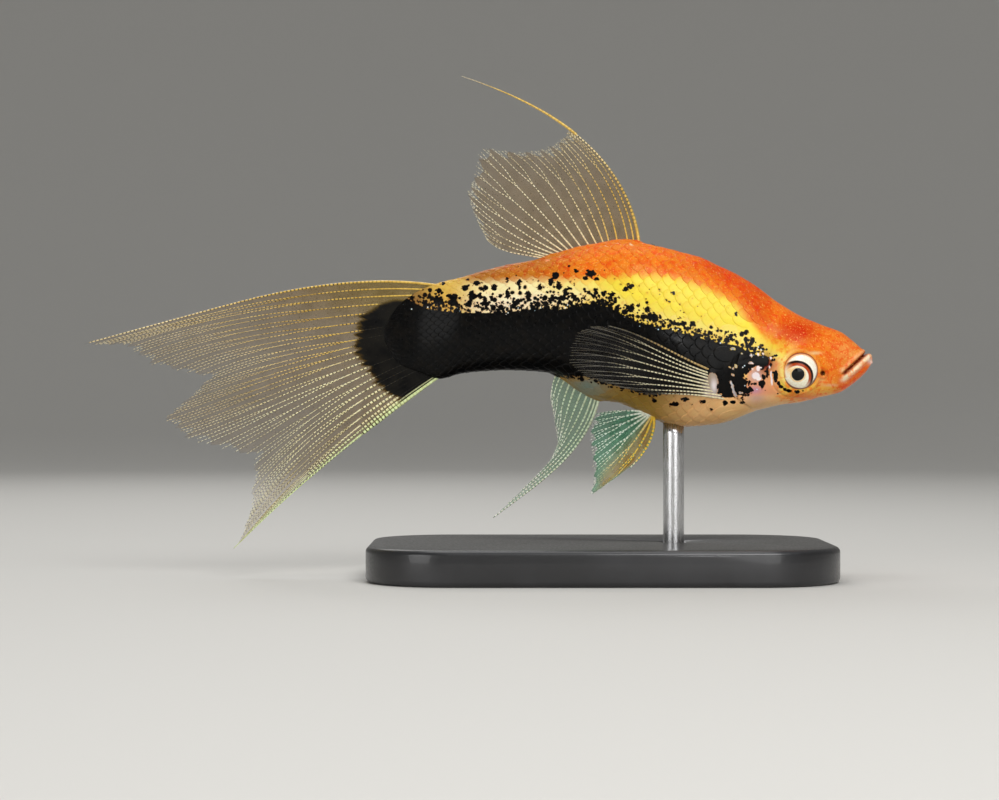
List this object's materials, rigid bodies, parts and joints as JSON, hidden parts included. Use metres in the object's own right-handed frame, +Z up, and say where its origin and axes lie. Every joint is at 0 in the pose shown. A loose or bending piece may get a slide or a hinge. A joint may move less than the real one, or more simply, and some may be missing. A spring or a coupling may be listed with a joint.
{
  "type": "lyretail swordtail fish model",
  "caption": "Life-size still model of a female half-black lyretail swordtail with its fins spread, on a plain display stand.",
  "frame": {"origin": "middle of the base plate's underside", "axes": "+Z up, +X towards the snout, +Y to the fish's left flank"},
  "size_m": [0.1118, 0.042, 0.072],
  "materials": {
    "orange_skin": "wet satin scales, orange to deep red-orange",
    "golden_skin": "wet satin scales, golden yellow flank over a black lower half",
    "dark_skin": "wet satin black pigment with pale flecks",
    "eye": "clear glossy cornea over a pale iris and black pupil",
    "fin_membrane": "thin translucent membrane with golden beaded rays",
    "tail_membrane": "thin translucent smoky olive membrane with golden beaded rays",
    "stand_black": "satin black",
    "stand_steel": "brushed"
  },
  "bodies": {
    "root": {"head": "orange_skin", "lower_jaw": "orange_skin", "gill_cover_right": "dark_skin", "gill_cover_left": "dark_skin", "trunk": "golden_skin", "tail_stalk": "dark_skin", "eye_right": "eye", "eye_left": "eye", "dorsal_fin": "fin_membrane", "dorsal_streamer": "fin_membrane", "anal_fin": "fin_membrane", "pectoral_fin_right": "fin_membrane", "pectoral_fin_left": "fin_membrane", "pelvic_fin_right": "fin_membrane", "pelvic_fin_left": "fin_membrane", "caudal_fin_upper": "tail_membrane", "caudal_fin_middle": "tail_membrane", "caudal_fin_lower": "tail_membrane", "stand_base": "stand_black", "stand_rod": "stand_steel"}
  },
  "joints": []
}
